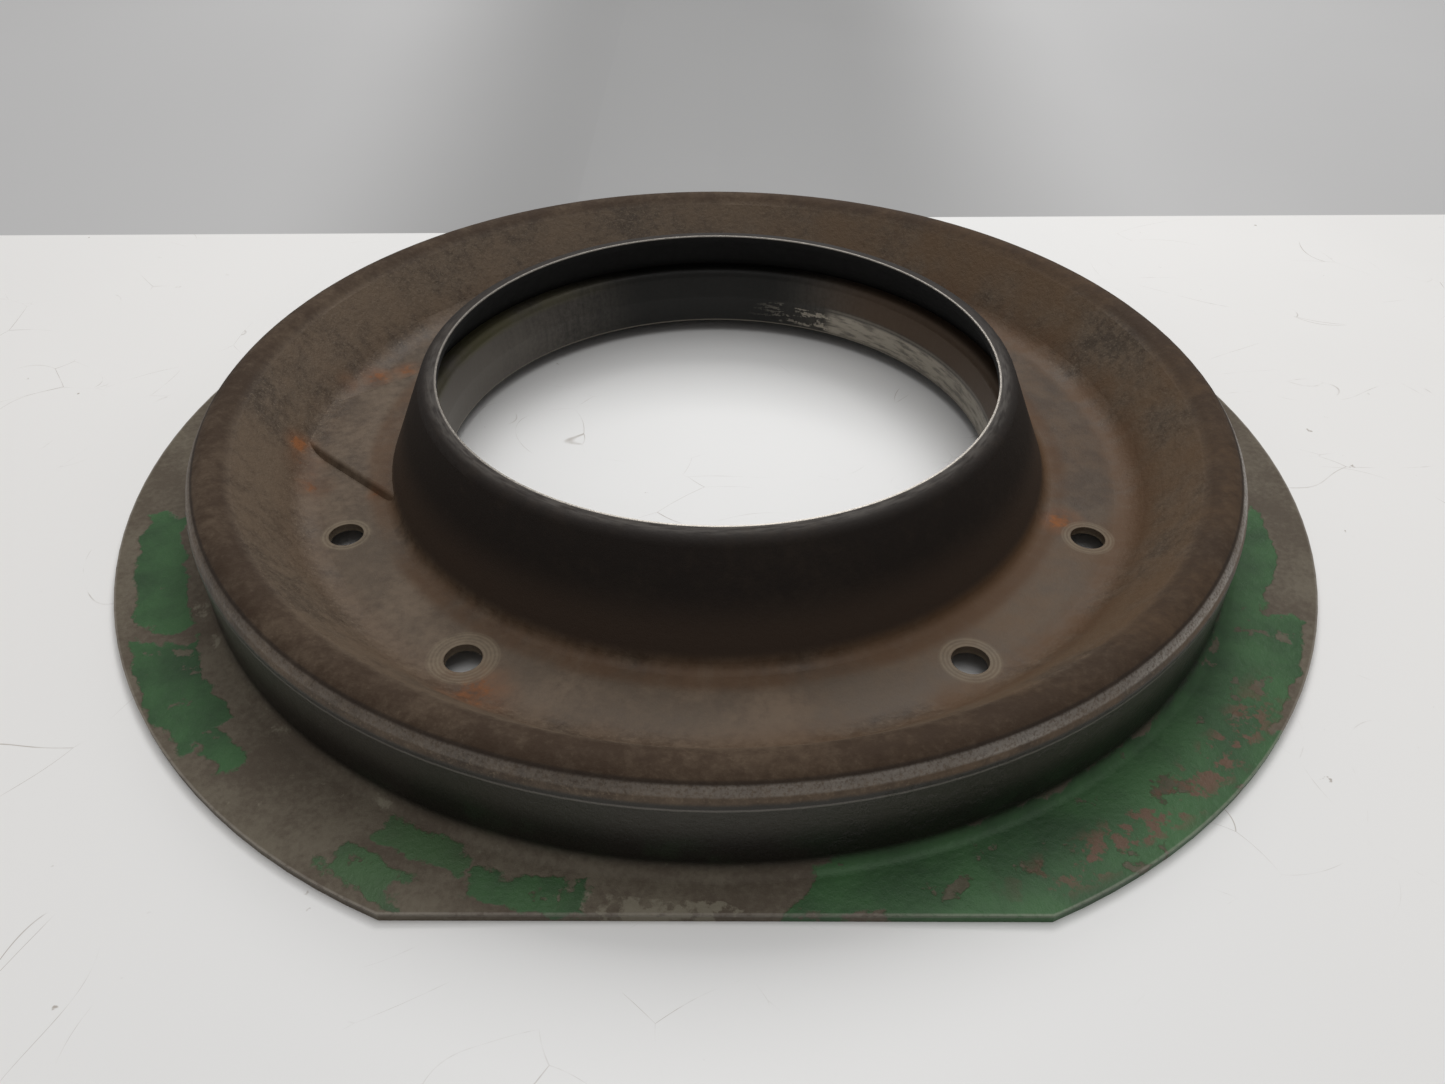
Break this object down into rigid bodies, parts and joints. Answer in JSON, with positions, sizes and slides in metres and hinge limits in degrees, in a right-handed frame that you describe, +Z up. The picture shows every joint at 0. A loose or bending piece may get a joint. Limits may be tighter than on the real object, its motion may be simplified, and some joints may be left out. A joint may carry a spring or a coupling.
{
  "type": "pressed steel flanged ring",
  "caption": "Open-centred pressed steel cover: clipped flange, round drum with a dished bolting face, tapered collar with a rolled lip, and a flared sleeve inside it.",
  "frame": {"origin": "centre of the inner sleeve's lower mouth, on the axis of the drum and collar", "axes": "+Z up the axis, from the flange to the lip; -Y towards the flange's clipped side; -X towards the raised pad"},
  "size_m": [0.53, 0.5089, 0.0589],
  "materials": {
    "shell_steel": "bare rusty sheet steel with worn green paint on the flange",
    "sleeve_steel": "dark steel with a rubbed, streaky band",
    "weld_steel": "rippled weld metal under light rust"
  },
  "bodies": {
    "root": {"pressed_shell": "shell_steel", "inner_sleeve": "sleeve_steel", "sleeve_welds": "weld_steel"}
  },
  "joints": []
}
